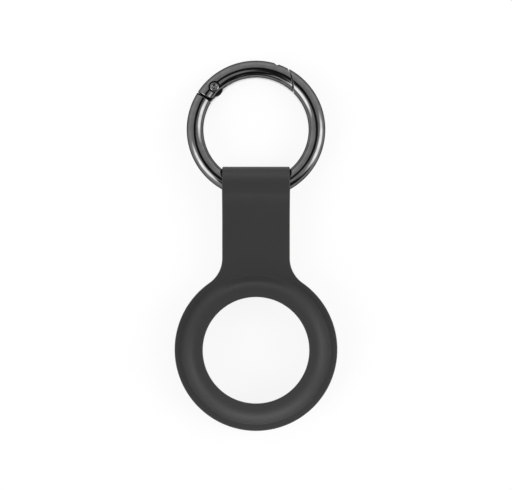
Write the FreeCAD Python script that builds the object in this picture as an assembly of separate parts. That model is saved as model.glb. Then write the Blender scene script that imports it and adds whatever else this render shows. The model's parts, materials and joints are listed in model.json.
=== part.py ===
"""Tracker tag holder: a moulded silicone loop that grips a coin-shaped tag, hung on a round spring-gate ring.

Millimetres and degrees. The part lies on its back. +Z points out of the front face, +Y from the tag pocket to
the ring, and the origin is the middle of the outline on the surface that the part lies on.
The silicone is modelled about the pocket's centre and the ring about its own, and both are then set in place.
"""

import FreeCAD
import Part
import math
import os

from FreeCAD import Placement, Rotation, Vector

# Tag pocket in the silicone
POCKET_RADIUS = 16.0  # inside, round the tag's rim
POCKET_HALF_HEIGHT = 3.4  # middle plane to the inside of a lip
POCKET_CORNER = 2.1  # inside rounding from rim wall to lip
POCKET_WALL = 1.0  # silicone at the rim and at the lips
LIP_REACH = 1.4  # front lip, from the corner's rounding to the round window
BACK_LIP_REACH = 0.65  # back lip, whose window is a little wider
LIP_ROUND_SHARE = 0.3  # rounding of both edges of a lip, of the wall
FOOT_ROUND = 1.0  # hollow rounding where the pocket rises from the flange

# Flange and strap in the silicone
FLANGE_WIDTH = 2.25  # beyond the pocket's wall
SHEET_THICKNESS = 2.8
STRAP_WIDTH = 16.0
NECK_FILLET = 7.1  # in the outline, from flange to strap
EDGE_ROUND = 0.3  # rounding along the whole outline

# Loop at the end of the strap, which the ring runs through
LOOP_DISTANCE = 38.9  # pocket axis to loop axis
LOOP_LIP = 0.4  # wall left at the loop's two mouths, where it is thinnest
LOOP_BLEND = 14.0  # hollow rounding from strap to loop
LOOP_CLEARANCE = 0.15  # ring to loop, at every angle that the ring swings to

# Ring and gate
RING_INNER_RADIUS = 12.5
WIRE_DIAMETER = 4.0  # the ring's round section
RING_DROP = 1.1  # loop axis to the lowest point of the ring's centre line
END_ROUND = 0.08  # rounding of the edges at the ring's two ends and the gate's nose
TAIL_EDGE_ROUND = 0.35  # rounding of the edges at the gate's tail

# Hinge of the gate, in the ring's plane
PIVOT_ANGLE = 135.0
PIVOT_INSET = 0.5  # from the wire's centre line towards the ring's centre
GATE_TAIL_ANGLE = 147.5  # end of the gate behind its pivot
TAIL_GAP = 0.5  # gate's tail to the ring's shoulder
TAIL_ROUND = 1.4  # rounding of the gate's tail on the ring's inner side
TONGUE_THICKNESS = 1.2
TONGUE_RADIUS = 2.05  # inner side of the ring's tongue, round the pivot
TONGUE_WAIST_SHARE = 0.8  # where the tongue's inner side straightens, of its radius
TONGUE_ROOT = 1.0  # how far the tongue runs into the ring's shoulder
ROOT_GAP = 0.12  # gate's tail to the tongue's wide root
EYE_WALL = 0.4  # outer side of the tongue, beyond the rivet
SLOT_CLEARANCE = 0.1  # tongue to each cheek of the gate
SLOT_END_GAP = 0.25  # tongue to the end and the roof of the gate's slot

# Nose joint, a round face about a point near the pivot, so that the gate swings in clear of it
NOSE_OUTER_ANGLE = 61.9  # where the ring's nose face meets the outer radius
NOSE_CENTRE_ALONG = 0.3  # from the pivot, along the gate
NOSE_CENTRE_INWARD = 2.8  # from the pivot, towards the ring's centre
NOSE_GAP = 0.25
PAST_NOSE_ANGLE = 15.0  # a direction well past the nose

# Thumb nick in the gate's outer side, and the slightly lower stretch from there to the nose
NICK_START_ANGLE = 75.4
NICK_DEEP_ANGLE = 71.9
NICK_END_ANGLE = 70.3
NICK_DEPTH = 0.55
TIP_DROP = 0.12

# Rivet
RIVET_RADIUS = 0.7
RIVET_BRIM = 0.45  # head beyond the shank
RIVET_SINK = 0.65  # spot face below the wire's crown
RIVET_HEAD_HEIGHT = 0.55
RIVET_CROWN_RADIUS = 0.8  # where the rolled head is highest
RIVET_CROWN_SHARE = 0.72  # fullness of the rolled head
RIVET_WELL_RADIUS = 0.42  # hollow in the middle of the head
RIVET_WELL_DEPTH = 0.3
RIVET_BUTTON_RISE = 0.14  # round bottom of that hollow
SPOT_FACE_MARGIN = 0.25  # spot face beyond the head
RIVET_FIT = 0.02  # rivet in the gate
RIVET_RUNNING_FIT = 0.05  # rivet in the ring's tongue

# Gate spring
SPRING_RADIUS = 0.43  # to the middle of its wire
SPRING_WIRE = 0.25
SPRING_LENGTH = 6.6
SPRING_TURNS = 9
SPRING_OFFSET = 0.85  # pivot to the spring's axis, towards the ring's centre
SPRING_SEAT = 1.2  # pivot to the flat on the tongue that the spring presses on
SPRING_BORE_CLEARANCE = 0.1
SPRING_END_GAP = 0.02

OVERRUN = 1.0  # how far cutting bodies run past what they cut

# Sizes worked out from those above
UP = Vector(0, 0, 1)
SHEET_HALF = SHEET_THICKNESS / 2
STRAP_HALF = STRAP_WIDTH / 2
WIRE_RADIUS = WIRE_DIAMETER / 2
POCKET_OUTER_HALF = POCKET_HALF_HEIGHT + POCKET_WALL
POCKET_OUTER_RADIUS = POCKET_RADIUS + POCKET_WALL
FLANGE_RADIUS = POCKET_OUTER_RADIUS + FLANGE_WIDTH
RING_MID_RADIUS = RING_INNER_RADIUS + WIRE_RADIUS
RING_OUTER_RADIUS = RING_INNER_RADIUS + WIRE_DIAMETER
RING_RISE = RING_MID_RADIUS - RING_DROP  # loop axis to the ring's centre
RING_REACH = RING_RISE + RING_MID_RADIUS  # loop axis to the far side of the ring's centre line
LOOP_BORE_RADIUS = RING_DROP + WIRE_RADIUS + LOOP_CLEARANCE
MOUTH_CURVE = RING_INNER_RADIUS - LOOP_CLEARANCE  # the mouths follow the ring's inner side
LOOP_RADIUS = RING_RISE - math.sqrt(MOUTH_CURVE**2 - STRAP_HALF**2) + LOOP_LIP
LIE_HEIGHT = max(POCKET_OUTER_HALF, LOOP_RADIUS)  # middle plane above the surface that the part lies on
REST_TILT = math.degrees(math.asin((LIE_HEIGHT - WIRE_RADIUS) / RING_REACH))
FAR_END = LOOP_DISTANCE + RING_REACH * math.cos(math.radians(REST_TILT)) + WIRE_RADIUS
SHOULDER_ANGLE = GATE_TAIL_ANGLE + math.degrees(TAIL_GAP / RING_MID_RADIUS)
EYE_RADIUS = RIVET_RADIUS + EYE_WALL
RIVET_SEAT = WIRE_RADIUS - RIVET_SINK
RIVET_HEAD_RADIUS = RIVET_RADIUS + RIVET_BRIM
HOLDER_PLACE = Placement(Vector(0, (FLANGE_RADIUS - FAR_END) / 2, LIE_HEIGHT), Rotation())
RING_PLACE = (
    HOLDER_PLACE
    * Placement(Vector(0, LOOP_DISTANCE, 0), Rotation(Vector(1, 0, 0), -REST_TILT))
    * Placement(Vector(0, RING_RISE, 0), Rotation())
)


def polar(radius, angle):
    """A point in the ring's plane, from its centre."""
    return Vector(radius * math.cos(math.radians(angle)), radius * math.sin(math.radians(angle)), 0)


PIVOT = polar(RING_MID_RADIUS - PIVOT_INSET, PIVOT_ANGLE)
GATEWARD = polar(1, PIVOT_ANGLE - 90)  # along the gate, from the pivot
INWARD = polar(1, PIVOT_ANGLE + 180)  # to the ring's centre, from the pivot


def at_hinge(along, inward, height=0):
    """A point by its distances from the pivot: along the gate, towards the ring's centre, and up."""
    return PIVOT + GATEWARD * along + INWARD * inward + UP * height


def line(start, end):
    return Part.LineSegment(start, end).toShape()


def arc(centre, start, end, long_way=False):
    """The arc about centre from start to end, the shorter way round unless long_way."""
    spoke = (start - centre) + (end - centre)
    spoke.normalize()
    middle = centre + spoke * ((start - centre).Length * (-1 if long_way else 1))
    return Part.Arc(start, middle, end).toShape()


def face(edges):
    return Part.Face(Part.Wire(edges))


def slab(edges, half_thickness):
    """A flat outline in the XY plane as a solid, the same thickness above and below."""
    outline = face(edges)
    outline.translate(UP * -half_thickness)
    return outline.extrude(UP * (2 * half_thickness))


def polygon_slab(points, half_thickness):
    return slab([line(a, b) for a, b in zip(points, points[1:] + points[:1])], half_thickness)


def upright(centre, radius, half_height):
    """A cylinder along Z, as tall above its centre as below."""
    return Part.makeCylinder(radius, 2 * half_height, centre - UP * half_height, UP)


def turned(edges):
    """A section in the XZ plane, turned about Z."""
    return face(edges).revolve(Vector(), UP, 360)


def both_sides(front, back):
    """Two solids that stand on the XY plane as one, with the second mirrored below it."""
    return front.fuse(back.mirror(Vector(), UP)).removeSplitter()


# Silicone holder


def strap_end():
    """Distance from the pocket axis at which the flat strap starts to swell into the loop."""
    swell = (LOOP_RADIUS + LOOP_BLEND) ** 2 - (SHEET_HALF + LOOP_BLEND) ** 2
    return LOOP_DISTANCE - math.sqrt(swell)


def flat_sheet():
    """Round flange and straight strap in one outline, with the neck fillets between them."""
    neck_x = STRAP_HALF + NECK_FILLET
    neck_y = math.sqrt((FLANGE_RADIUS + NECK_FILLET) ** 2 - neck_x**2)
    meet_share = FLANGE_RADIUS / (FLANGE_RADIUS + NECK_FILLET)
    right, left = Vector(neck_x, neck_y, 0), Vector(-neck_x, neck_y, 0)
    top = strap_end()
    edges = [
        line(Vector(STRAP_HALF, neck_y, 0), Vector(STRAP_HALF, top, 0)),
        line(Vector(STRAP_HALF, top, 0), Vector(-STRAP_HALF, top, 0)),
        line(Vector(-STRAP_HALF, top, 0), Vector(-STRAP_HALF, neck_y, 0)),
        arc(left, Vector(-STRAP_HALF, neck_y, 0), left * meet_share),
        arc(Vector(), left * meet_share, right * meet_share, long_way=True),
        arc(right, right * meet_share, Vector(STRAP_HALF, neck_y, 0)),
    ]
    return slab(edges, SHEET_HALF)


def strap_loop():
    """The strap's end seen from its side, a drop round the ring, drawn across the strap's width."""
    top = strap_end()
    centre = Vector(-STRAP_HALF, LOOP_DISTANCE, 0)
    front = Vector(-STRAP_HALF, top, SHEET_HALF + LOOP_BLEND)
    back = Vector(-STRAP_HALF, top, -SHEET_HALF - LOOP_BLEND)
    meet_share = LOOP_RADIUS / (LOOP_RADIUS + LOOP_BLEND)
    front_meet = centre + (front - centre) * meet_share
    back_meet = centre + (back - centre) * meet_share
    front_start = Vector(-STRAP_HALF, top, SHEET_HALF)
    back_start = Vector(-STRAP_HALF, top, -SHEET_HALF)
    edges = [
        arc(back, back_start, back_meet),
        arc(centre, back_meet, front_meet, long_way=True),
        arc(front, front_meet, front_start),
        line(front_start, back_start),
    ]
    return face(edges).extrude(Vector(STRAP_WIDTH, 0, 0))


def loop_bore():
    """Room for the ring at every angle that it swings to: a round bore with mouths that follow its curve."""
    end = STRAP_HALF + OVERRUN
    mouth = RING_RISE - math.sqrt(MOUTH_CURVE**2 - end**2)
    across = Vector(1, 0, 0)
    left, right = Vector(-end, mouth, 0), Vector(end, mouth, 0)
    section = [
        line(left, Vector(-end, 0, 0)),
        line(Vector(-end, 0, 0), Vector(end, 0, 0)),
        line(Vector(end, 0, 0), right),
        arc(Vector(0, RING_RISE, 0), right, left),
    ]
    mouths = face(section).revolve(Vector(), across, 360)
    room = Part.makeCylinder(LOOP_BORE_RADIUS, 2 * end, Vector(-end, 0, 0), across).fuse(mouths)
    room.translate(Vector(0, LOOP_DISTANCE, 0))
    return room


def pocket_half(lip_reach):
    """Half of the pocket's wall with one lip, a turned section round the tag."""
    lip_round = POCKET_WALL * LIP_ROUND_SHARE
    corner = Vector(POCKET_RADIUS - POCKET_CORNER, 0, POCKET_HALF_HEIGHT - POCKET_CORNER)
    window = corner.x - lip_reach
    low = Vector(window + lip_round, 0, POCKET_HALF_HEIGHT + lip_round)
    high = Vector(window + lip_round, 0, POCKET_OUTER_HALF - lip_round)
    inner_foot, inner_side = Vector(POCKET_RADIUS, 0, 0), Vector(POCKET_RADIUS, 0, corner.z)
    inner_lip, inner_edge = Vector(corner.x, 0, POCKET_HALF_HEIGHT), Vector(low.x, 0, POCKET_HALF_HEIGHT)
    window_low, window_high = Vector(window, 0, low.z), Vector(window, 0, high.z)
    outer_edge, outer_lip = Vector(high.x, 0, POCKET_OUTER_HALF), Vector(corner.x, 0, POCKET_OUTER_HALF)
    outer_side, outer_foot = Vector(POCKET_OUTER_RADIUS, 0, corner.z), Vector(POCKET_OUTER_RADIUS, 0, 0)
    section = [
        line(inner_foot, inner_side),
        arc(corner, inner_side, inner_lip),
        line(inner_lip, inner_edge),
        arc(low, inner_edge, window_low),
        line(window_low, window_high),
        arc(high, window_high, outer_edge),
        line(outer_edge, outer_lip),
        arc(corner, outer_lip, outer_side),
        line(outer_side, outer_foot),
        line(outer_foot, inner_foot),
    ]
    return turned(section)


def pocket_rim():
    return both_sides(pocket_half(LIP_REACH), pocket_half(BACK_LIP_REACH))


def is_side(side):
    """Whether a face of the holder is part of its upright outline."""
    if isinstance(side.Surface, Part.Plane):
        return abs(side.Surface.Axis.x) > max(abs(side.Surface.Axis.y), abs(side.Surface.Axis.z))
    return isinstance(side.Surface, Part.Cylinder) and abs(side.Surface.Axis.z) > abs(side.Surface.Axis.x)


def outline_edges(solid):
    """The edges where the upright outline meets the front and back faces."""
    edges = [edge for side in solid.Faces if is_side(side) for edge in side.Edges]
    return [edge for edge in edges if sum(edge.isSame(other) for other in edges) == 1]


def foot_edges(solid):
    """The two circles where the pocket rises from the flange."""
    rise = max(0, SHEET_HALF - POCKET_HALF_HEIGHT + POCKET_CORNER)
    rounding = POCKET_CORNER + POCKET_WALL
    radius = POCKET_OUTER_RADIUS - rounding + math.sqrt(rounding**2 - rise**2)
    circles = [edge for edge in solid.Edges if isinstance(edge.Curve, Part.Circle)]
    level = [edge for edge in circles if math.isclose(abs(edge.Curve.Center.z), SHEET_HALF)]
    return [edge for edge in level if math.isclose(edge.Curve.Radius, radius)]


def holder_body():
    sheet = flat_sheet().fuse(strap_loop()).removeSplitter()
    sheet = sheet.makeFillet(EDGE_ROUND, outline_edges(sheet))
    sheet = sheet.cut(upright(Vector(), POCKET_RADIUS + POCKET_WALL / 2, SHEET_HALF + OVERRUN))
    holder = sheet.fuse(pocket_rim()).removeSplitter()
    holder = holder.makeFillet(FOOT_ROUND, foot_edges(holder))
    return holder.cut(loop_bore())


# Spring-gate ring


def wire_ring():
    return Part.makeTorus(RING_MID_RADIUS, WIRE_RADIUS)


def gate_span(tail_angle, nose_gap):
    """The stretch of the ring from the gate's tail to the round nose face."""
    reach = 4 * RING_OUTER_RADIUS
    corners = [
        polar(WIRE_DIAMETER, tail_angle),
        polar(reach, tail_angle),
        polar(reach, PAST_NOSE_ANGLE),
        polar(WIRE_DIAMETER, PAST_NOSE_ANGLE),
    ]
    centre = at_hinge(NOSE_CENTRE_ALONG, NOSE_CENTRE_INWARD)
    radius = (polar(RING_OUTER_RADIUS, NOSE_OUTER_ANGLE) - centre).Length
    wedge = polygon_slab(corners, WIRE_DIAMETER)
    return wedge.common(upright(centre, radius - nose_gap, WIRE_DIAMETER))


def rounded_ends(wire, flat_end_round):
    """A length of the ring's wire with the edges of its flat end and of its round nose face rounded."""
    for kind, rounding in ((Part.Plane, flat_end_round), (Part.Cylinder, END_ROUND)):
        ends = [side for side in wire.Faces if isinstance(side.Surface, kind)]
        wire = wire.makeFillet(rounding, [edge for side in ends for edge in side.Edges])
    return wire


def tongue():
    """The ring's flat tongue, which turns on the rivet between the cheeks of the gate."""
    root = -PIVOT.Length * math.sin(math.radians(SHOULDER_ANGLE - PIVOT_ANGLE)) - TONGUE_ROOT
    waist = TONGUE_RADIUS * TONGUE_WAIST_SHARE
    waist_start = at_hinge(-math.sqrt(TONGUE_RADIUS**2 - waist**2), waist)
    seat_end = at_hinge(SPRING_SEAT, math.sqrt(TONGUE_RADIUS**2 - SPRING_SEAT**2))
    seat_start = at_hinge(SPRING_SEAT, SPRING_OFFSET - SPRING_RADIUS - SPRING_WIRE)
    eye_start, eye_end = at_hinge(0, -EYE_RADIUS), at_hinge(EYE_RADIUS, 0)
    edges = [
        line(at_hinge(root, waist), at_hinge(root, -EYE_RADIUS)),
        line(at_hinge(root, -EYE_RADIUS), eye_start),
        arc(PIVOT, eye_start, eye_end),
        line(eye_end, seat_start),
        line(seat_start, seat_end),
        arc(PIVOT, seat_end, waist_start),
        line(waist_start, at_hinge(root, waist)),
    ]
    return slab(edges, TONGUE_THICKNESS / 2)


def tongue_root():
    """The tongue's root, a slice of the wire's outer half, which closes the gap at the gate's tail."""
    start = GATE_TAIL_ANGLE + math.degrees(ROOT_GAP / RING_MID_RADIUS)
    end = SHOULDER_ANGLE + math.degrees(TONGUE_ROOT / RING_MID_RADIUS)
    inside, outside = PIVOT.Length, RING_OUTER_RADIUS + OVERRUN
    corners = [polar(inside, start), polar(outside, start), polar(outside, end), polar(inside, end)]
    return polygon_slab(corners, TONGUE_THICKNESS / 2).common(wire_ring())


def ring_body():
    wire = rounded_ends(wire_ring().cut(gate_span(SHOULDER_ANGLE, 0)), END_ROUND)
    ring = wire.fuse([tongue(), tongue_root()]).removeSplitter()
    return ring.cut(upright(PIVOT, RIVET_RADIUS + RIVET_RUNNING_FIT, WIRE_RADIUS))


def gate_slot():
    """Room between the gate's cheeks for the tongue, open to the ring's inner side and at the tail."""
    roof = -EYE_RADIUS - SLOT_END_GAP
    end = TONGUE_RADIUS + SLOT_END_GAP
    corners = [
        at_hinge(-RING_MID_RADIUS, roof),
        at_hinge(end, roof),
        at_hinge(end, WIRE_DIAMETER),
        at_hinge(-RING_MID_RADIUS, WIRE_DIAMETER),
    ]
    return polygon_slab(corners, TONGUE_THICKNESS / 2 + SLOT_CLEARANCE)


def tail_corner():
    """What the gate's tail loses on the ring's inner side, so that it turns clear of the ring's shoulder."""
    inner = polar(RING_INNER_RADIUS, GATE_TAIL_ANGLE)
    outward = polar(1, GATE_TAIL_ANGLE)
    along = polar(1, GATE_TAIL_ANGLE - 90)
    centre = inner + (outward + along) * TAIL_ROUND
    far = inner - (outward + along) * OVERRUN
    tail_end, side_end = centre - along * TAIL_ROUND, centre - outward * TAIL_ROUND
    edges = [
        arc(centre, tail_end, side_end),
        line(side_end, side_end - outward * OVERRUN),
        line(side_end - outward * OVERRUN, far),
        line(far, tail_end - along * OVERRUN),
        line(tail_end - along * OVERRUN, tail_end),
    ]
    return slab(edges, WIRE_DIAMETER)


def thumb_nick():
    """A small nick for the thumb, and the lower stretch that runs on from it past the gate's end."""
    outside = RING_OUTER_RADIUS + NICK_DEPTH
    low = RING_OUTER_RADIUS - TIP_DROP
    corners = [
        polar(RING_OUTER_RADIUS, NICK_START_ANGLE),
        polar(RING_OUTER_RADIUS - NICK_DEPTH, NICK_DEEP_ANGLE),
        polar(low, NICK_END_ANGLE),
        polar(low, NOSE_OUTER_ANGLE),
        polar(outside, NOSE_OUTER_ANGLE),
        polar(outside, NICK_START_ANGLE),
    ]
    return polygon_slab(corners, WIRE_RADIUS)


def gate():
    arm = rounded_ends(wire_ring().common(gate_span(GATE_TAIL_ANGLE, NOSE_GAP)), TAIL_EDGE_ROUND)
    spot = RIVET_HEAD_RADIUS + SPOT_FACE_MARGIN
    spring_room = SPRING_RADIUS + SPRING_WIRE / 2 + SPRING_BORE_CLEARANCE
    bore_length = SPRING_SEAT + SPRING_LENGTH + 2 * SPRING_END_GAP - TONGUE_RADIUS
    cuts = [
        tail_corner(),
        gate_slot(),
        thumb_nick(),
        upright(PIVOT, RIVET_RADIUS + RIVET_FIT, WIRE_RADIUS),
        Part.makeCylinder(spot, RIVET_SINK + OVERRUN, PIVOT + UP * RIVET_SEAT, UP),
        Part.makeCylinder(spot, RIVET_SINK + OVERRUN, PIVOT - UP * RIVET_SEAT, -UP),
        Part.makeCylinder(spring_room, bore_length, at_hinge(TONGUE_RADIUS, SPRING_OFFSET), GATEWARD),
    ]
    for cut in cuts:
        arm = arm.cut(cut)
    return arm


def head_curve(low, crown):
    """A full curve in the XZ plane from the low edge of a rivet's head to its crown."""
    share = RIVET_CROWN_SHARE
    full = Vector(crown.x + (low.x - crown.x) * share, 0, low.z + (crown.z - low.z) * share)
    return Part.Arc(low, full, crown).toShape()


def hinge_rivet():
    """A rivet with a rolled head at each end, hollow in its middle."""
    top = RIVET_SEAT + RIVET_HEAD_HEIGHT
    shank_foot, shank_top = Vector(RIVET_RADIUS, 0, 0), Vector(RIVET_RADIUS, 0, RIVET_SEAT)
    brim, crown = Vector(RIVET_HEAD_RADIUS, 0, RIVET_SEAT), Vector(RIVET_CROWN_RADIUS, 0, top)
    well = Vector(RIVET_WELL_RADIUS, 0, top - RIVET_WELL_DEPTH)
    button = Vector(0, 0, well.z + RIVET_BUTTON_RISE)
    button_radius = (RIVET_WELL_RADIUS**2 + RIVET_BUTTON_RISE**2) / (2 * RIVET_BUTTON_RISE)
    section = [
        line(Vector(), shank_foot),
        line(shank_foot, shank_top),
        line(shank_top, brim),
        head_curve(brim, crown),
        head_curve(well, crown),
        arc(button - UP * button_radius, well, button),
        line(button, Vector()),
    ]
    head = turned(section)
    rivet = both_sides(head, head)
    rivet.translate(PIVOT)
    return rivet


def coil_point(turn, start, pitch):
    """A point on the spring's centre line, and the direction that the wire runs in there."""
    angle = 2 * math.pi * turn
    side, up = math.cos(angle), math.sin(angle)
    point = at_hinge(start + pitch * turn, SPRING_OFFSET + SPRING_RADIUS * side, SPRING_RADIUS * up)
    run = 2 * math.pi * SPRING_RADIUS
    heading = INWARD * (-run * up) + UP * (run * side) + GATEWARD * pitch
    return point, heading.normalize()


def biarc(start, start_heading, end, end_heading):
    """Two arcs that run from start to end, tangent to both headings and to each other."""
    span = end - start
    both = start_heading + end_heading
    bend = 2 * (1 - start_heading.dot(end_heading))
    reach = (-span.dot(both) + math.sqrt(span.dot(both) ** 2 + bend * span.dot(span))) / bend
    first, last = start + start_heading * reach, end - end_heading * reach
    joint = (first + last) / 2
    arcs = []
    for a, corner, b in ((start, first, joint), (joint, last, end)):
        chord = (a + b) / 2
        half, rise = (b - a).Length / 2, (corner - chord).Length
        crown = rise * half / (half + math.sqrt(half**2 + rise**2))
        arcs.append(Part.Arc(a, chord + (corner - chord).normalize() * crown, b).toShape())
    return arcs


def gate_spring():
    """A compression spring of open turns, one unbroken wire, each quarter turn a pair of arcs."""
    start = SPRING_SEAT + SPRING_END_GAP + SPRING_WIRE / 2
    pitch = (SPRING_LENGTH - SPRING_WIRE) / SPRING_TURNS
    stations = [coil_point(quarter / 4, start, pitch) for quarter in range(4 * SPRING_TURNS + 1)]
    path = [piece for a, b in zip(stations, stations[1:]) for piece in biarc(*a, *b)]
    points = [point for point, heading in stations]
    apart = [(b - a).Length for n, a in enumerate(points) for b in points[n + 2 :]]
    print("gate_spring: least gap between turns %.2f mm" % (min(apart) - SPRING_WIRE))
    section = Part.Wire(Part.makeCircle(SPRING_WIRE / 2, *stations[0]))
    return Part.Wire(path).makePipeShell([section], True, False)


def export(name, solid, place):
    solid.Placement = place * solid.Placement
    solid.exportStep("parts/%s.step" % name)
    print("%s: %d solid, valid %s, %.1f mm3" % (name, len(solid.Solids), solid.isValid(), solid.Volume))


def main():
    os.makedirs("parts", exist_ok=True)
    export("holder_body", holder_body(), HOLDER_PLACE)
    export("ring_body", ring_body(), RING_PLACE)
    export("gate", gate(), RING_PLACE)
    export("hinge_rivet", hinge_rivet(), RING_PLACE)
    export("gate_spring", gate_spring(), RING_PLACE)
    print("pocket centre", HOLDER_PLACE.multVec(Vector()))
    print("loop axis", HOLDER_PLACE.multVec(Vector(0, LOOP_DISTANCE, 0)))
    print("ring centre", RING_PLACE.multVec(Vector()))
    print("gate pivot", RING_PLACE.multVec(PIVOT), "axis", RING_PLACE.Rotation.multVec(UP))


main()
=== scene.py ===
"""Looks of a tracker tag holder: moulded silicone on a plated spring-gate ring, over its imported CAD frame.

Metres throughout, in the frame of the CAD. The sizes and colours that a user would change are in groups of
properties, and finer details have names above the functions that use them.
"""

import json
import math

import bmesh
import bpy
import numpy as np
from bpy.props import FloatProperty, FloatVectorProperty, IntProperty, PointerProperty
from mathutils import Matrix, Vector


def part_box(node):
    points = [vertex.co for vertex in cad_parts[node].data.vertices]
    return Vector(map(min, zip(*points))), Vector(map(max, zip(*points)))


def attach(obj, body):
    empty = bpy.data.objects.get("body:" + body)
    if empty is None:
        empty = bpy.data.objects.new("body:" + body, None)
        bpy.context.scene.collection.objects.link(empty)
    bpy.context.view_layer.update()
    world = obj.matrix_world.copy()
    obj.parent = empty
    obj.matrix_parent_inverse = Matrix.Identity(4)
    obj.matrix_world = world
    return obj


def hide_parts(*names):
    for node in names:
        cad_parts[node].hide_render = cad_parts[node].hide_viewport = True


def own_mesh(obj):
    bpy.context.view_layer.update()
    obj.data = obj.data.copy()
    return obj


bl_info = {
    "name": "Tracker tag holder",
    "version": (1, 0, 0),
    "blender": (4, 5, 0),
    "location": "3D View > Sidebar > Tag holder",
    "description": "Silicone holder, plated ring and gate, rivet, spring and studio, on the packed CAD frame",
    "category": "Object",
}

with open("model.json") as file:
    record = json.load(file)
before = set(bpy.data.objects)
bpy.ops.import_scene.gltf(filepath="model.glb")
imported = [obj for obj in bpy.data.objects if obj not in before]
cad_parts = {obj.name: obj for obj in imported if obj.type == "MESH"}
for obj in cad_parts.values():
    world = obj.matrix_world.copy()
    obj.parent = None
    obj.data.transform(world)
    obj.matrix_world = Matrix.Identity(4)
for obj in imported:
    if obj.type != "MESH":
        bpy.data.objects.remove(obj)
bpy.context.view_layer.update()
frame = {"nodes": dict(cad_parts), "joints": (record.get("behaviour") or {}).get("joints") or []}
JOINTS = {joint["name"]: joint for joint in frame["joints"]}
MM = 0.001

# Places that the frame gives
HOLDER_LOW, HOLDER_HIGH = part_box("holder_body")
FLANGE_RADIUS = (HOLDER_HIGH.x - HOLDER_LOW.x) / 2
POCKET_CENTRE = Vector((0, HOLDER_LOW.y + FLANGE_RADIUS, (HOLDER_LOW.z + HOLDER_HIGH.z) / 2))
LOOP_CENTRE = Vector(JOINTS["ring_swing"]["pos_m"])
GATE_PIVOT = Vector(JOINTS["gate_hinge"]["pos_m"])
RING_NORMAL = -Vector(JOINTS["gate_hinge"]["axis"])
RING_ACROSS = Vector((1, 0, 0))
RING_ALONG = RING_NORMAL.cross(RING_ACROSS)
GATEWARD = (RING_ACROSS + RING_ALONG).normalized()  # from the hinge, along the gate
INWARD = (RING_ACROSS - RING_ALONG).normalized()  # from the hinge, to the ring's centre


def linear(code):
    """An sRGB hex colour as the linear red, green and blue that a shader takes."""
    parts = [int(code[i : i + 2], 16) / 255 for i in (1, 3, 5)]
    return tuple(p / 12.92 if p <= 0.04045 else ((p + 0.055) / 1.055) ** 2.4 for p in parts)


def length(name, words, millimetres):
    """A size that a user may change."""
    return FloatProperty(name=name, description=words, default=millimetres * MM, unit="LENGTH", precision=5)


def colour(name, words, code):
    """A colour that a user may change, from its sRGB hex code."""
    return FloatVectorProperty(
        name=name, description=words, default=linear(code), subtype="COLOR", min=0, max=1
    )


def share(name, words, value):
    """A share, from none to all, that a user may change."""
    return FloatProperty(name=name, description=words, default=value, subtype="FACTOR", min=0, max=1)


def brightness(name, words, value):
    """A brightness that a user may change, where 1 is white."""
    return FloatProperty(name=name, description=words, default=value, min=0)


class SiliconeSettings(bpy.types.PropertyGroup):
    """Sizes and finish of the silicone holder"""

    pocket_radius: length("Pocket radius", "Inside of the pocket, round the tag's rim", 16.0)
    pocket_half: length("Pocket half height", "Middle plane to the inside of a lip", 3.4)
    pocket_corner: length("Pocket corner", "Inside rounding from rim wall to lip", 2.1)
    wall: length("Wall", "Silicone at the rim and at the lips", 1.0)
    lip_reach: length("Lip reach", "Front lip, from the corner's rounding to the window", 1.4)
    back_lip_reach: length("Back lip reach", "Back lip, whose window is a little wider", 0.65)
    lip_round: length("Lip rounding", "Rounding of both edges of a lip", 0.3)
    foot_round: length("Foot rounding", "Hollow where the pocket rises from the flange", 0.2)
    draft: FloatProperty(
        name="Draft",
        description="Lean of the pocket's outside where it rises from the flange",
        default=math.radians(35),
        subtype="ANGLE",
    )
    sheet: length("Sheet", "Thickness of flange and strap", 2.8)
    strap_width: length("Strap width", "Across the strap", 16.0)
    neck: length("Neck fillet", "In the outline, from flange to strap", 7.1)
    edge: length("Edge rounding", "Along the whole outline", 0.3)
    loop_blend: length("Loop blend", "Hollow rounding from strap to loop", 14.0)
    bore_radius: length("Bore radius", "Middle of the hole that the ring runs through", 3.25)
    mouth_curve: length("Mouth curve", "Radius that the flared mouths follow, just inside the ring", 12.35)
    ring_rise: length("Ring rise", "Loop axis to the ring's centre", 13.4)
    grain: length("Grain", "Size of the mould's spark-eroded grain as drawn", 0.22)
    base: colour("Silicone", "Body colour of the silicone", "#181818")
    bloom: colour("Bloom", "Faint dust and handling bloom on the silicone", "#1D1D1D")
    roughness: share("Roughness", "Matt mould finish", 0.56)


class PlatingSettings(bpy.types.PropertyGroup):
    """Finish of the ring, the gate and the rivet"""

    plating: colour("Black nickel", "Reflected colour of the plating", "#5B5B5B")
    thin: colour("Thin plating", "Plating where handling has brightened it", "#787878")
    roughness: share("Roughness", "Polished plating", 0.05)
    wave: length("Polishing wave", "Length of the slight waves left by polishing", 1.5)
    mark: length("Polishing marks", "Width of the fine polishing marks as drawn", 0.12)
    rivet: colour("Rivet", "Reflected colour of the rivet", "#6E6E6E")


class SpringSettings(bpy.types.PropertyGroup):
    """Sizes and colour of the gate spring"""

    turns: IntProperty(name="Turns", description="Turns of the spring", default=9, min=1)
    radius: length("Coil radius", "To the middle of the wire", 0.43)
    wire: length("Wire", "Diameter of the wire", 0.25)
    height: length("Length", "Over both ends of the spring", 6.6)
    offset: length("Offset", "From the pivot to the spring's axis, towards the ring's centre", 0.85)
    seat: length("Seat", "From the pivot to the tongue's flat", 1.2)
    steel: colour("Spring steel", "Reflected colour of the drawn wire", "#B5B5B5")


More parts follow.
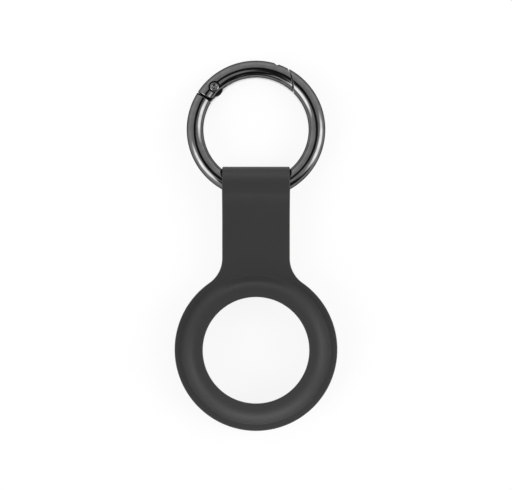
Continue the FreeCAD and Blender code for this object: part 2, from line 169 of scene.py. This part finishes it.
class StageSettings(bpy.types.PropertyGroup):
    """Floor, camera and light of the studio"""

    floor: colour("Floor", "Colour of the floor", "#F4F4F4")
    lift: share("Floor lift", "How far the seen floor is lifted to white", 0.88)
    distance: length("Camera distance", "Camera above the middle of the part", 400.0)
    view_width: length("View width", "Width of the picture at the part", 121.4)
    tent: brightness("Tent", "Brightness of the tent for matt surfaces", 0.75)
    foot: brightness("Tent foot", "Brightness low in the tent, in the metal", 1.35)
    top: brightness("Tent top", "Brightness overhead in the tent, in the metal", 0.78)
    lamps: brightness("Lamps", "Brightness of the tent before its two lamps", 5.3)
    opening: brightness("Openings", "Brightness in the tent's openings", 0.04)
    front_strip: brightness("Front strip", "Brightness of the silicone's front strip", 2.6)
    back_strip: brightness("Back strip", "Brightness of the silicone's back strip", 2.8)
    over_box: brightness("Overhead box", "Brightness of the silicone's overhead box", 0.4)


# Nodes and pieces

MIX_A, MIX_B, MIX_RESULT = 6, 7, 2  # a Mix node's sockets for colours
NOISE_LOW, NOISE_HIGH = 0.3, 0.7  # nearly all of a noise lies between these
WHITE = (1, 1, 1, 1)


def add(tree, kind, inputs=None, **settings):
    """Adds a node to a tree with its settings, and sets or links its inputs."""
    made = tree.nodes.new(kind)
    for name, value in settings.items():
        setattr(made, name, value)
    for key, value in (inputs or {}).items():
        if isinstance(value, bpy.types.NodeSocket):
            tree.links.new(value, made.inputs[key])
        else:
            made.inputs[key].default_value = value
    return made


def new_material(name):
    """A material and its tree, with no nodes yet."""
    material = bpy.data.materials.new(name)
    material.use_nodes = True
    material.node_tree.nodes.clear()
    return material, material.node_tree


def new_piece(name, mesh, material, body, node):
    """A finished piece in place of a CAD node."""
    piece = bpy.data.objects.new(name, mesh)
    bpy.context.scene.collection.objects.link(piece)
    mesh.materials.clear()
    mesh.materials.append(material)
    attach(piece, body)
    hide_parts(node)
    return piece


def wear(node, material):
    """Gives a CAD node its finished material."""
    slots = frame["nodes"][node].material_slots
    if not slots:
        raise RuntimeError("no material slot on " + node)
    for slot in slots:
        slot.material = material


# Silicone holder, about the pocket's centre

EDGE_STEPS = 6  # faces across the rounding of an edge
WALL_STEPS = 8  # faces down an edge, between its roundings
END_STEPS = 40  # faces across the strap
BORE_STEPS = 24  # faces from a mouth of the bore to its middle
FLAT_ROWS = (0, 0.06, 0.3, 0.6, 0.85, 0.97, 1)  # rows of a flat face, as shares of the way across it
MOUTH_EDGE = 0.06 * MM  # rounding of the bore's mouths
MOUTH_EDGE_MIDDLE = 0.3  # where the middle of that rounding lies, in from the corner, as a share of it
MOUTH_BLEND = 0.2 * MM  # rounding from the bore into its flared mouths
WELD = 0.0005 * MM  # points closer than this become one
SLIVER = 0.0002 * MM  # edges shorter than this are closed up

BLOOM_CLOUD = 7 * MM  # size of a cloud of bloom
GRAIN_DEPTH = 0.012 * MM
GRAIN_GLOSS = (-0.05, 0.06)  # change of roughness from the grain's hollows to its tops
SEAM_FLAT = 0.03 * MM  # half width of the mould line's top
SEAM_END = 0.1 * MM  # from the mould line's middle to where it has faded out
SEAM_RISE = 0.04 * MM


def arc(centre, radius, start, end, steps):
    """Points of an arc in a plane and the directions to them from its centre, angles in degrees."""
    angles = np.radians(np.linspace(start, end, steps + 1))
    spokes = np.column_stack([np.cos(angles), np.sin(angles)])
    return np.array(centre) + radius * spokes, spokes


def run(start, end, steps):
    """Points of a straight run, both ends among them."""
    return np.linspace(np.array(start), np.array(end), steps + 1)


def chain(*runs):
    """Runs of points end to end, with each shared end kept once."""
    return np.vstack([runs[0]] + [points[1:] for points in runs[1:]])


def rim_half(size, lip_reach):
    """Radius and height along half of the pocket's skin, from the flange over a lip to the middle inside."""
    corner = (size.pocket_radius - size.pocket_corner, size.pocket_half - size.pocket_corner)
    outer = size.pocket_corner + size.wall
    draft = math.degrees(size.draft)
    facing = np.array((math.cos(size.draft), math.sin(size.draft)))
    shoulder = corner + outer * facing
    fall = (shoulder[1] - size.sheet / 2 - size.foot_round * (1 - facing[1])) / facing[0]
    toe = shoulder + fall * np.array((facing[1], -facing[0]))
    bend = size.lip_round
    edge = corner[0] - lip_reach + bend
    top, under = size.pocket_half + size.wall, size.pocket_half
    return chain(
        arc(toe + size.foot_round * facing, size.foot_round, 270, 180 + draft, steps=6)[0],
        run(toe, shoulder, steps=3),
        arc(corner, outer, draft, 90, steps=20)[0],
        run((corner[0], top), (edge, top), steps=4),
        arc((edge, top - bend), bend, 90, 180, steps=6)[0],
        run((edge - bend, top - bend), (edge - bend, under + bend), steps=1),
        arc((edge, under + bend), bend, 180, 270, steps=6)[0],
        run((edge, under), (corner[0], under), steps=3),
        arc(corner, size.pocket_corner, 90, 0, steps=10)[0],
        run((size.pocket_radius, corner[1]), (size.pocket_radius, 0), steps=2),
    )


def rim_section(size):
    """Radius and height along the pocket's skin, from the flange's front over both lips to its back."""
    front, back = rim_half(size, size.lip_reach), rim_half(size, size.back_lip_reach)
    return np.vstack([front, back[-2::-1] * (1, -1)])


def strap_end(size, loop_radius, loop_distance):
    """Distance from the pocket's axis at which the flat strap starts to swell into the loop."""
    swell = (loop_radius + size.loop_blend) ** 2 - (size.sheet / 2 + size.loop_blend) ** 2
    return loop_distance - math.sqrt(swell)


def outline(size, top):
    """Outline of flange and strap, from the strap's left end round to its right end, and which way is out."""
    half = size.strap_width / 2
    neck_x = half + size.neck
    neck_y = math.sqrt((FLANGE_RADIUS + size.neck) ** 2 - neck_x**2)
    meet = math.degrees(math.atan2(neck_y, neck_x))
    side = run((half, neck_y), (half, top), steps=14)
    neck, to_neck = arc((neck_x, neck_y), size.neck, 180 + meet, 180, steps=18)
    flange, from_middle = arc((0, 0), FLANGE_RADIUS, 180 - meet, 360 + meet, steps=204)
    mirror = np.array((-1, 1))
    out = np.tile((1.0, 0.0), (len(side), 1))
    points = chain(side[::-1] * mirror, neck[::-1] * mirror, flange, neck, side)
    outward = chain(out * mirror, -to_neck[::-1] * mirror, from_middle, -to_neck, out)
    return points, outward


def drop_section(size, top, loop_radius, loop_distance):
    """Side view of the loop, from the strap's front round to its back, and which way is out.

    Points are given as distance along the strap and height."""
    rise = size.sheet / 2 + size.loop_blend
    meet = math.degrees(math.atan2(rise, loop_distance - top))
    blend, to_blend = arc((top, rise), size.loop_blend, 270, 360 - meet, steps=16)
    loop, from_loop = arc((loop_distance, 0), loop_radius, 180 - meet, meet - 180, steps=64)
    mirror = np.array((1, -1))
    points = chain(blend, loop, blend[::-1] * mirror)
    outward = chain(-to_blend, from_loop, -to_blend[::-1] * mirror)
    return points, outward


def bore_section(size):
    """Distance across the strap and radius of the ring's hole, flared at both mouths to clear the ring."""
    half, lip = size.strap_width / 2, MOUTH_EDGE
    turn = np.linspace(math.pi / 2, 0, BORE_STEPS + 1)
    across = half - lip - (half - lip) * (1 - np.sin(turn))
    mouth = size.ring_rise - np.sqrt(size.mouth_curve**2 - across**2)
    radius = (size.bore_radius + mouth + np.hypot(size.bore_radius - mouth, MOUTH_BLEND)) / 2
    middle = MOUTH_EDGE_MIDDLE * lip
    rounding = np.array([(half, radius[0] + lip), (half - middle, radius[0] + middle)])
    right = np.vstack([rounding, np.column_stack([across, radius])])
    return np.vstack([right, right[-2::-1] * (-1, 1)])


def at_height(flat, height):
    """Points of a plan at one height."""
    return np.column_stack([flat, np.full(len(flat), height)])


def at_side(flat, across):
    """Points of a side view at one place across the strap."""
    return np.column_stack([np.full(len(flat), across), flat])


def holder_grids(size):
    """The holder's skin as grids of points that share their borders."""
    loop_distance = LOOP_CENTRE.y - POCKET_CENTRE.y
    loop_radius = HOLDER_HIGH.y - LOOP_CENTRE.y
    half, thick, edge = size.strap_width / 2, size.sheet / 2, size.edge
    top = strap_end(size, loop_radius, loop_distance)
    turn = np.radians(np.linspace(0, 90, EDGE_STEPS + 1))
    levels = np.linspace(thick - edge, edge - thick, WALL_STEPS + 1)

    # The pocket, with a spoke to each point of the border round the flat sheet
    section = rim_section(size)
    points, outward = outline(size, top)
    inset = points - outward * edge
    end = run((half - edge, top), (edge - half, top), END_STEPS)
    border = chain(end, inset)
    spokes = border / np.linalg.norm(border, axis=1)[:, None]
    grids = [np.stack([at_height(spokes * radius, height) for radius, height in section])]

    # The flat front and back of flange and strap
    for height, radius in ((thick, section[0, 0]), (-thick, section[-1, 0])):
        sheet = [at_height(spokes * radius * (1 - way) + border * way, height) for way in FLAT_ROWS]
        grids.append(np.stack(sheet))

    # Their edge, rounded at front and back
    skirt = [
        at_height(inset + outward * edge * math.sin(angle), thick - edge + edge * math.cos(angle))
        for angle in turn
    ]
    skirt += [at_height(points, height) for height in levels[1:-1]]
    skirt += [row * (1, 1, -1) for row in skirt[EDGE_STEPS::-1]]
    grids.append(np.stack(skirt))

    # The loop, and the bore through it
    middle = (loop_distance, 0)
    drop, away = drop_section(size, top, loop_radius, loop_distance)
    grids.append(np.stack([at_side(drop, across) for across in end[:, 0]]))
    wall_end = np.column_stack([np.full(WALL_STEPS + 1, top), levels[::-1]])
    rim = chain(drop - away * edge, wall_end)
    around = rim - middle
    around = around / np.linalg.norm(around, axis=1)[:, None]
    bore = bore_section(size)
    grids.append(np.stack([at_side(around * radius + middle, across) for across, radius in bore]))

    # The loop's two sides, from its rounded edge to the mouths of the bore
    mouth = around * bore[0, 1] + middle
    for side in (1, -1):
        rounding = [
            at_side(
                drop - away * edge * (1 - math.cos(angle)),
                side * (half - edge + edge * math.sin(angle)),
            )
            for angle in turn
        ]
        grids.append(np.stack(rounding))
        cheek = [at_side(mouth * (1 - way) + rim * way, side * half) for way in FLAT_ROWS]
        grids.append(np.stack(cheek))
    return grids


def welded(name, grids):
    """One closed skin from grids that share their borders."""
    skin = bmesh.new()
    for grid in grids:
        rows = [[skin.verts.new(point) for point in row] for row in grid]
        for low, high in zip(rows, rows[1:]):
            for i in range(len(low) - 1):
                skin.faces.new((low[i], low[i + 1], high[i + 1], high[i]))
    bmesh.ops.remove_doubles(skin, verts=skin.verts, dist=WELD)
    bmesh.ops.dissolve_degenerate(skin, edges=skin.edges, dist=SLIVER)
    bmesh.ops.recalc_face_normals(skin, faces=skin.faces)
    for side in skin.faces:
        side.smooth = True
    open_edges = sum(not seam.is_manifold for seam in skin.edges)
    if open_edges:
        raise RuntimeError("%s has %d open edges" % (name, open_edges))
    mesh = bpy.data.meshes.new(name)
    skin.to_mesh(mesh)
    skin.free()
    return mesh


def moulded_silicone(look):
    """Compression-moulded silicone rubber: matt all over from the spark-eroded mould, so it lights up only
    softly on its round edges, with a little bloom from dust and handling and a fine line where the mould's
    halves met."""
    material, tree = new_material("moulded_silicone")
    place = add(tree, "ShaderNodeTexCoord").outputs["Object"]
    cloud = add(
        tree,
        "ShaderNodeTexNoise",
        {"Vector": place, "Scale": 1 / BLOOM_CLOUD, "Detail": 4.0, "Roughness": 0.55},
    ).outputs["Fac"]
    # The real grain is about 0.05 mm, too fine for the picture, so it is drawn four times as coarse.
    grain = add(
        tree,
        "ShaderNodeTexNoise",
        {"Vector": place, "Scale": 1 / look.grain, "Detail": 2.0, "Roughness": 0.5},
    ).outputs["Fac"]
    body = add(
        tree,
        "ShaderNodeMix",
        {"Factor": cloud, MIX_A: (*look.base, 1), MIX_B: (*look.bloom, 1)},
        data_type="RGBA",
    )
    rough = add(
        tree,
        "ShaderNodeMapRange",
        {
            "Value": grain,
            "From Min": NOISE_LOW,
            "From Max": NOISE_HIGH,
            "To Min": look.roughness + GRAIN_GLOSS[0],
            "To Max": look.roughness + GRAIN_GLOSS[1],
        },
    )
    height = add(tree, "ShaderNodeSeparateXYZ", {"Vector": place}).outputs["Z"]
    apart = add(tree, "ShaderNodeMath", {0: height, 1: POCKET_CENTRE.z}, operation="SUBTRACT").outputs[0]
    apart = add(tree, "ShaderNodeMath", {0: apart}, operation="ABSOLUTE").outputs[0]
    seam = add(
        tree,
        "ShaderNodeMapRange",
        {"Value": apart, "From Min": SEAM_FLAT, "From Max": SEAM_END, "To Min": 1.0, "To Max": 0.0},
        interpolation_type="SMOOTHSTEP",
    ).outputs[0]
    relief = add(
        tree, "ShaderNodeBump", {"Height": grain, "Strength": 0.35, "Distance": GRAIN_DEPTH}
    ).outputs["Normal"]
    relief = add(
        tree,
        "ShaderNodeBump",
        {"Height": seam, "Strength": 0.6, "Distance": SEAM_RISE, "Normal": relief},
    ).outputs["Normal"]
    shader = add(
        tree,
        "ShaderNodeBsdfPrincipled",
        {
            "Base Color": body.outputs[MIX_RESULT],
            "Roughness": rough.outputs[0],
            "IOR": 1.41,
            "Sheen Weight": 0.06,
            "Sheen Roughness": 0.4,
            "Normal": relief,
        },
    )
    add(tree, "ShaderNodeOutputMaterial", {"Surface": shader.outputs[0]})
    return material


class TAGHOLDER_OT_silicone(bpy.types.Operator):
    """Makes the moulded silicone holder: pocket, flange, strap and loop"""

    bl_idname = "tagholder.silicone"
    bl_label = "Silicone holder"

    def execute(self, context):
        settings = context.scene.tag_silicone
        mesh = welded("holder_silicone", holder_grids(settings))
        mesh.transform(Matrix.Translation(POCKET_CENTRE))
        silicone = moulded_silicone(settings)
        new_piece("holder_silicone", mesh, silicone, "holder", "holder_body")
        return {"FINISHED"}


# Plated castings

WAVE_DEPTH = 0.06 * MM  # depth of the polishing waves
MARK_GLOSS = (-0.03, 0.04)  # change of roughness between and in the polishing marks
GLANCING_TINT = (0.2, 0.2, 0.2, 1)  # the plating stays dark at a glancing angle
RIVET_DULLER = 0.06  # how much rougher the rivet is than the castings


def black_nickel(name, look, tint, roughness):
    """Polished metal plated in black nickel: a dark mirror, slightly wavy from polishing, with fine polishing
    marks and the plating a little brighter in patches where it is handled."""
    material, tree = new_material(name)
    place = add(tree, "ShaderNodeTexCoord").outputs["Object"]
    wave = add(
        tree,
        "ShaderNodeTexNoise",
        {"Vector": place, "Scale": 1 / look.wave, "Detail": 2.0, "Roughness": 0.4},
    ).outputs["Fac"]
    # Real polishing marks are some 0.02 mm wide, too fine for the picture, so they are drawn wider.
    marks = add(
        tree,
        "ShaderNodeTexNoise",
        {"Vector": place, "Scale": 1 / look.mark, "Detail": 2.0, "Roughness": 0.6},
    ).outputs["Fac"]
    tone = add(
        tree,
        "ShaderNodeMix",
        {"Factor": wave, MIX_A: (*tint, 1), MIX_B: (*look.thin, 1)},
        data_type="RGBA",
    )
    rough = add(
        tree,
        "ShaderNodeMapRange",
        {
            "Value": marks,
            "From Min": NOISE_LOW,
            "From Max": NOISE_HIGH,
            "To Min": roughness + MARK_GLOSS[0],
            "To Max": roughness + MARK_GLOSS[1],
        },
    )
    relief = add(tree, "ShaderNodeBump", {"Height": wave, "Strength": 0.1, "Distance": WAVE_DEPTH})
    shader = add(
        tree,
        "ShaderNodeBsdfPrincipled",
        {
            "Base Color": tone.outputs[MIX_RESULT],
            "Metallic": 1.0,
            "Roughness": rough.outputs[0],
            "Specular Tint": GLANCING_TINT,
            "Normal": relief.outputs["Normal"],
        },
    )
    add(tree, "ShaderNodeOutputMaterial", {"Surface": shader.outputs[0]})
    return material


class TAGHOLDER_OT_castings(bpy.types.Operator):
    """Plates the ring and its gate"""

    bl_idname = "tagholder.castings"
    bl_label = "Ring and gate"

    def execute(self, context):
        settings = context.scene.tag_plating
        plating = black_nickel("black_nickel", settings, settings.plating, settings.roughness)
        wear("ring_body", plating)
        wear("gate", plating)
        return {"FINISHED"}


class TAGHOLDER_OT_rivet(bpy.types.Operator):
    """Finishes the hinge rivet"""

    bl_idname = "tagholder.rivet"
    bl_label = "Hinge rivet"

    def execute(self, context):
        settings = context.scene.tag_plating
        roughness = settings.roughness + RIVET_DULLER
        wear("hinge_rivet", black_nickel("rivet_steel", settings, settings.rivet, roughness))
        return {"FINISHED"}


# Spring

SPRING_END_GAP = 0.02 * MM  # between the spring's end and the tongue's flat
OIL_PATCH = 0.4 * MM  # size of a patch of oil
WIRE_GLOSS = (0.2, 0.45)  # roughness of bare wire and under oil


def drawn_steel(look):
    """Hard-drawn spring wire: bright steel, a little dull in patches of oil."""
    material, tree = new_material("spring_steel")
    place = add(tree, "ShaderNodeTexCoord").outputs["Object"]
    oil = add(tree, "ShaderNodeTexNoise", {"Vector": place, "Scale": 1 / OIL_PATCH, "Detail": 3.0})
    rough = add(
        tree,
        "ShaderNodeMapRange",
        {"Value": oil.outputs["Fac"], "To Min": WIRE_GLOSS[0], "To Max": WIRE_GLOSS[1]},
    )
    shader = add(
        tree,
        "ShaderNodeBsdfPrincipled",
        {"Base Color": (*look.steel, 1), "Metallic": 1.0, "Roughness": rough.outputs[0]},
    )
    add(tree, "ShaderNodeOutputMaterial", {"Surface": shader.outputs[0]})
    return material


def coil_tree(material):
    """Geometry nodes that wind a round wire into a spring along Z."""
    tree = bpy.data.node_groups.new("gate_spring_coil", "GeometryNodeTree")
    for name in ("Turns", "Coil radius", "Wire radius", "Height"):
        tree.interface.new_socket(name, in_out="INPUT", socket_type="NodeSocketFloat")
    tree.interface.new_socket("Geometry", in_out="OUTPUT", socket_type="NodeSocketGeometry")
    sizes = add(tree, "NodeGroupInput").outputs
    path = add(
        tree,
        "GeometryNodeCurveSpiral",
        {
            "Resolution": 28,
            "Rotations": sizes["Turns"],
            "Start Radius": sizes["Coil radius"],
            "End Radius": sizes["Coil radius"],
            "Height": sizes["Height"],
        },
    )
    section = add(
        tree, "GeometryNodeCurvePrimitiveCircle", {"Resolution": 14, "Radius": sizes["Wire radius"]}
    )
    wire = add(
        tree,
        "GeometryNodeCurveToMesh",
        {"Curve": path.outputs["Curve"], "Profile Curve": section.outputs["Curve"], "Fill Caps": True},
    )
    soft = add(tree, "GeometryNodeSetShadeSmooth", {"Geometry": wire.outputs["Mesh"]})
    plain = add(tree, "GeometryNodeRealizeInstances", {"Geometry": soft.outputs["Geometry"]})
    painted = add(
        tree, "GeometryNodeSetMaterial", {"Geometry": plain.outputs["Geometry"], "Material": material}
    )
    add(tree, "NodeGroupOutput", {"Geometry": painted.outputs["Geometry"]})
    return tree


def nodes_mesh(name, tree, values):
    """The plain mesh that a geometry tree makes from its named inputs."""
    holder = bpy.data.objects.new(name + "_maker", bpy.data.meshes.new(name + "_maker"))
    bpy.context.scene.collection.objects.link(holder)
    maker = holder.modifiers.new("maker", "NODES")
    maker.node_group = tree
    for item in tree.interface.items_tree:
        if item.in_out == "INPUT":
            maker[item.identifier] = values[item.name]
    bpy.context.view_layer.update()
    evaluated = holder.evaluated_get(bpy.context.evaluated_depsgraph_get())
    mesh = bpy.data.meshes.new_from_object(evaluated)
    mesh.name = name
    holder.modifiers.remove(maker)
    bpy.data.objects.remove(holder)
    if not mesh.polygons:
        raise RuntimeError("geometry nodes made nothing for " + name)
    return mesh


class TAGHOLDER_OT_spring(bpy.types.Operator):
    """Winds the coil spring in the gate's bore"""

    bl_idname = "tagholder.spring"
    bl_label = "Gate spring"

    def execute(self, context):
        size = context.scene.tag_spring
        steel = drawn_steel(size)
        values = {
            "Turns": float(size.turns),
            "Coil radius": size.radius,
            "Wire radius": size.wire / 2,
            "Height": size.height - size.wire,
        }
        mesh = nodes_mesh("spring_coil", coil_tree(steel), values)
        first_turn = size.seat + SPRING_END_GAP + size.wire / 2
        start = GATE_PIVOT + GATEWARD * first_turn + INWARD * size.offset
        axes = Matrix((INWARD, RING_NORMAL, GATEWARD)).transposed().to_4x4()
        mesh.transform(Matrix.Translation(start) @ axes)
        spring = new_piece("spring_coil", mesh, steel, "gate", "gate_spring")
        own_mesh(spring)
        return {"FINISHED"}


# Studio

# Round patches of the tent in degrees: azimuth, elevation, and how far the core and the soft edge reach
TENT_LAMPS = ((359, 30, 7, 28), (205, 33, 10, 25))
TENT_OPENINGS = (
    (175, 84.5, 15.5, 21),  # round the camera
    (38, 78.5, 5, 11),
    (247, 64, 4, 16),  # from there down the front
    (238, 45, 9, 16),
    (273, 33, 16, 28),
    (300, 30, 12, 26),
    (312, 8, 14, 27),
)

# Soft boxes that light only the silicone
FRONT_STRIP = {"distance": 0.08, "azimuth": 280, "elevation": 20, "width": 0.11, "height": 0.05}
BACK_STRIP = {"distance": 0.5, "azimuth": 95, "elevation": 22, "width": 0.6, "height": 0.12}
OVER_BOX = {"distance": 0.3, "azimuth": 270, "elevation": 80, "width": 0.28, "height": 0.28}
LAMP_WATTS = 4  # watts that give an area lamp of a square metre the brightness 1

FLOOR_REACH = 3.0
FLOOR_DROP = 0.02 * MM  # just under the part
OVERHANG = 4 * MM  # how far off the part still shades a point of the floor
LIFTED_SKY = (0.42, 0.52)  # shares of open sky at which the seen floor isn't lifted at all, and fully
# Painted shade: the seen floor's colour goes from black to white over these shares of open sky
PAINTED_SHADE_SKY = (0.28, 0.5)  # shares of open sky at which the seen floor is black, and white


def seen_rays(tree):
    """1 for what is seen, straight or in metal or glass, and 0 for light that falls on a matt surface."""
    rays = add(tree, "ShaderNodeLightPath").outputs
    seen = rays["Is Camera Ray"]
    for kind in ("Is Glossy Ray", "Is Transmission Ray"):
        seen = add(tree, "ShaderNodeMath", {0: seen, 1: rays[kind]}, operation="MAXIMUM").outputs[0]
    return seen


def pale_floor(studio):
    """Matt white table: white to the eye and in the metal, a little less for the light that it throws back.
    Right under the part, and where only a slit between the castings lets it show, it is dark. Partly this is
    its real shadow, where its lift to white is taken away. Partly it is painted shade, as its seen colour is
    darkened towards black where little open sky reaches it."""
    material, tree = new_material("white_table")
    seen = seen_rays(tree)
    sky = add(tree, "ShaderNodeAmbientOcclusion", {"Distance": OVERHANG}, samples=32).outputs["AO"]
    # Where little open sky reaches the seen floor, it loses its lift, so its real shadow shows. Its colour is
    # also painted darker, down to black: painted shade
    lifted, painted_shade = [
        add(tree, "ShaderNodeMapRange", {"Value": sky, "From Min": low, "From Max": high}).outputs[0]
        for low, high in (LIFTED_SKY, PAINTED_SHADE_SKY)
    ]
    # The seen floor takes the painted shade as its colour; light that falls on it takes the plain floor
    # colour
    tone = add(
        tree,
        "ShaderNodeMix",
        {"Factor": seen, MIX_A: (*studio.floor, 1), MIX_B: painted_shade},
        data_type="RGBA",
    )
    table = add(tree, "ShaderNodeBsdfDiffuse", {"Color": tone.outputs[MIX_RESULT]})
    glow = add(tree, "ShaderNodeEmission", {"Color": WHITE, "Strength": 1.0})
    lift = add(tree, "ShaderNodeMath", {0: seen, 1: studio.lift}, operation="MULTIPLY").outputs[0]
    lift = add(tree, "ShaderNodeMath", {0: lift, 1: lifted}, operation="MULTIPLY").outputs[0]
    shader = add(tree, "ShaderNodeMixShader", {0: lift, 1: table.outputs[0], 2: glow.outputs[0]})
    add(tree, "ShaderNodeOutputMaterial", {"Surface": shader.outputs[0]})
    return material


def lay_floor(studio):
    """One large triangle for the part to lie on."""
    mesh = bpy.data.meshes.new("floor")
    far, low = FLOOR_REACH, -FLOOR_DROP
    mesh.from_pydata([(-2 * far, -far, low), (2 * far, -far, low), (0, 2 * far, low)], [], [(0, 1, 2)])
    mesh.materials.append(pale_floor(studio))
    floor = bpy.data.objects.new("floor", mesh)
    bpy.context.scene.collection.objects.link(floor)


def towards(azimuth, elevation):
    """A direction in the studio, in degrees from the part's right and from the table."""
    a, e = math.radians(azimuth), math.radians(elevation)
    return Vector((math.cos(a) * math.cos(e), math.sin(a) * math.cos(e), math.sin(e)))


def soft_patches(tree, patches):
    """How far a direction lies in any of some round patches of the tent: 1 in a core, 0 past a soft edge."""
    heading = add(tree, "ShaderNodeTexCoord").outputs["Generated"]
    inside = None
    for azimuth, elevation, core, edge in patches:
        middle = towards(azimuth, elevation)
        near = add(tree, "ShaderNodeVectorMath", {0: heading, 1: middle}, operation="DOT_PRODUCT")
        patch = add(
            tree,
            "ShaderNodeMapRange",
            {
                "Value": near.outputs["Value"],
                "From Min": math.cos(math.radians(edge)),
                "From Max": math.cos(math.radians(core)),
            },
            interpolation_type="SMOOTHSTEP",
        ).outputs[0]
        if inside:
            patch = add(tree, "ShaderNodeMath", {0: inside, 1: patch}, operation="MAXIMUM").outputs[0]
        inside = patch
    return inside


def white_tent(studio):
    """A white light tent with a soft lamp at its left and right, and openings overhead and down the front.

    To the eye it is as white as the table. The metal shows it brighter low down than overhead, with the lamps
    and openings in it."""
    world = bpy.data.worlds.new("white_tent")
    world.use_nodes = True
    tree = world.node_tree
    tree.nodes.clear()
    lamps = soft_patches(tree, TENT_LAMPS)
    openings = soft_patches(tree, TENT_OPENINGS)
    heading = add(tree, "ShaderNodeTexCoord").outputs["Generated"]
    height = add(tree, "ShaderNodeSeparateXYZ", {"Vector": heading}).outputs["Z"]
    shown = add(
        tree, "ShaderNodeMapRange", {"Value": height, "To Min": studio.foot, "To Max": studio.top}
    ).outputs[0]
    level = add(
        tree, "ShaderNodeMapRange", {"Value": seen_rays(tree), "To Min": studio.tent, "To Max": shown}
    ).outputs[0]
    for patches, shine in ((lamps, studio.lamps), (openings, studio.opening)):
        level = add(
            tree, "ShaderNodeMapRange", {"Value": patches, "To Min": level, "To Max": shine}
        ).outputs[0]
    tent = add(tree, "ShaderNodeBackground", {"Color": WHITE, "Strength": level})
    white = add(tree, "ShaderNodeBackground", {"Color": WHITE, "Strength": 1.0})
    rays = add(tree, "ShaderNodeLightPath").outputs
    both = add(
        tree,
        "ShaderNodeMixShader",
        {0: rays["Is Camera Ray"], 1: tent.outputs[0], 2: white.outputs[0]},
    )
    add(tree, "ShaderNodeOutputWorld", {"Surface": both.outputs[0]})
    return world


def soft_box(name, target, radiance, distance, azimuth, elevation, width, height):
    """A soft box that faces a point of the part from some way off."""
    lamp = bpy.data.lights.new(name, "AREA")
    lamp.shape = "RECTANGLE"
    lamp.size = width
    lamp.size_y = height
    lamp.energy = LAMP_WATTS * width * height * radiance
    box = bpy.data.objects.new(name, lamp)
    bpy.context.scene.collection.objects.link(box)
    away = towards(azimuth, elevation)
    box.location = target + away * distance
    box.rotation_euler = away.to_track_quat("Z", "Y").to_euler()
    box.visible_camera = False
    return box


def light_silicone(studio):
    """Two strips and a box overhead that give the silicone its soft highlights."""
    silicone_only = bpy.data.collections.new("silicone_only")
    silicone_only.objects.link(bpy.data.objects["holder_silicone"])
    for box in (
        soft_box("front_strip", POCKET_CENTRE, studio.front_strip, **FRONT_STRIP),
        soft_box("back_strip", LOOP_CENTRE, studio.back_strip, **BACK_STRIP),
        soft_box("over_box", POCKET_CENTRE, studio.over_box, **OVER_BOX),
    ):
        box.light_linking.receiver_collection = silicone_only


def camera_above(studio):
    """The camera, looking straight down at the part."""
    lens = bpy.data.cameras.new("camera")
    lens.sensor_width = 36.0
    lens.lens = lens.sensor_width * studio.distance / studio.view_width
    lens.clip_start = 0.01
    lens.clip_end = 50
    camera = bpy.data.objects.new("camera", lens)
    bpy.context.scene.collection.objects.link(camera)
    camera.location = (0, 0, POCKET_CENTRE.z + studio.distance)
    return camera


class TAGHOLDER_OT_stage(bpy.types.Operator):
    """Sets up the floor, the light tent, the silicone's soft boxes and the camera straight above"""

    bl_idname = "tagholder.stage"
    bl_label = "Studio"

    def execute(self, context):
        scene = context.scene
        studio = scene.tag_stage
        scene.view_settings.view_transform = "Standard"
        lay_floor(studio)
        scene.world = white_tent(studio)
        light_silicone(studio)
        scene.camera = camera_above(studio)
        return {"FINISHED"}


class TAGHOLDER_PT_panel(bpy.types.Panel):
    """Lists the steps that make the part, and their settings"""

    bl_label = "Tag holder"
    bl_idname = "TAGHOLDER_PT_panel"
    bl_space_type = "VIEW_3D"
    bl_region_type = "UI"
    bl_category = "Tag holder"

    def draw(self, context):
        for operator in OPERATORS:
            self.layout.operator(operator.bl_idname)
        for group in GROUPS:
            settings = getattr(context.scene, group)
            box = self.layout.box()
            for name in settings.__annotations__:
                box.prop(settings, name)


GROUPS = {
    "tag_silicone": SiliconeSettings,
    "tag_plating": PlatingSettings,
    "tag_spring": SpringSettings,
    "tag_stage": StageSettings,
}
OPERATORS = (
    TAGHOLDER_OT_silicone,
    TAGHOLDER_OT_castings,
    TAGHOLDER_OT_rivet,
    TAGHOLDER_OT_spring,
    TAGHOLDER_OT_stage,
)


def register():
    for name, group in GROUPS.items():
        bpy.utils.register_class(group)
        setattr(bpy.types.Scene, name, PointerProperty(type=group))
    for operator in OPERATORS:
        bpy.utils.register_class(operator)
    bpy.utils.register_class(TAGHOLDER_PT_panel)


def unregister():
    bpy.utils.unregister_class(TAGHOLDER_PT_panel)
    for operator in reversed(OPERATORS):
        bpy.utils.unregister_class(operator)
    for name, group in GROUPS.items():
        delattr(bpy.types.Scene, name)
        bpy.utils.unregister_class(group)


def main():
    register()
    bpy.ops.tagholder.silicone()
    bpy.ops.tagholder.castings()
    bpy.ops.tagholder.rivet()
    bpy.ops.tagholder.spring()
    bpy.ops.tagholder.stage()


if __name__ == "__main__":
    main()
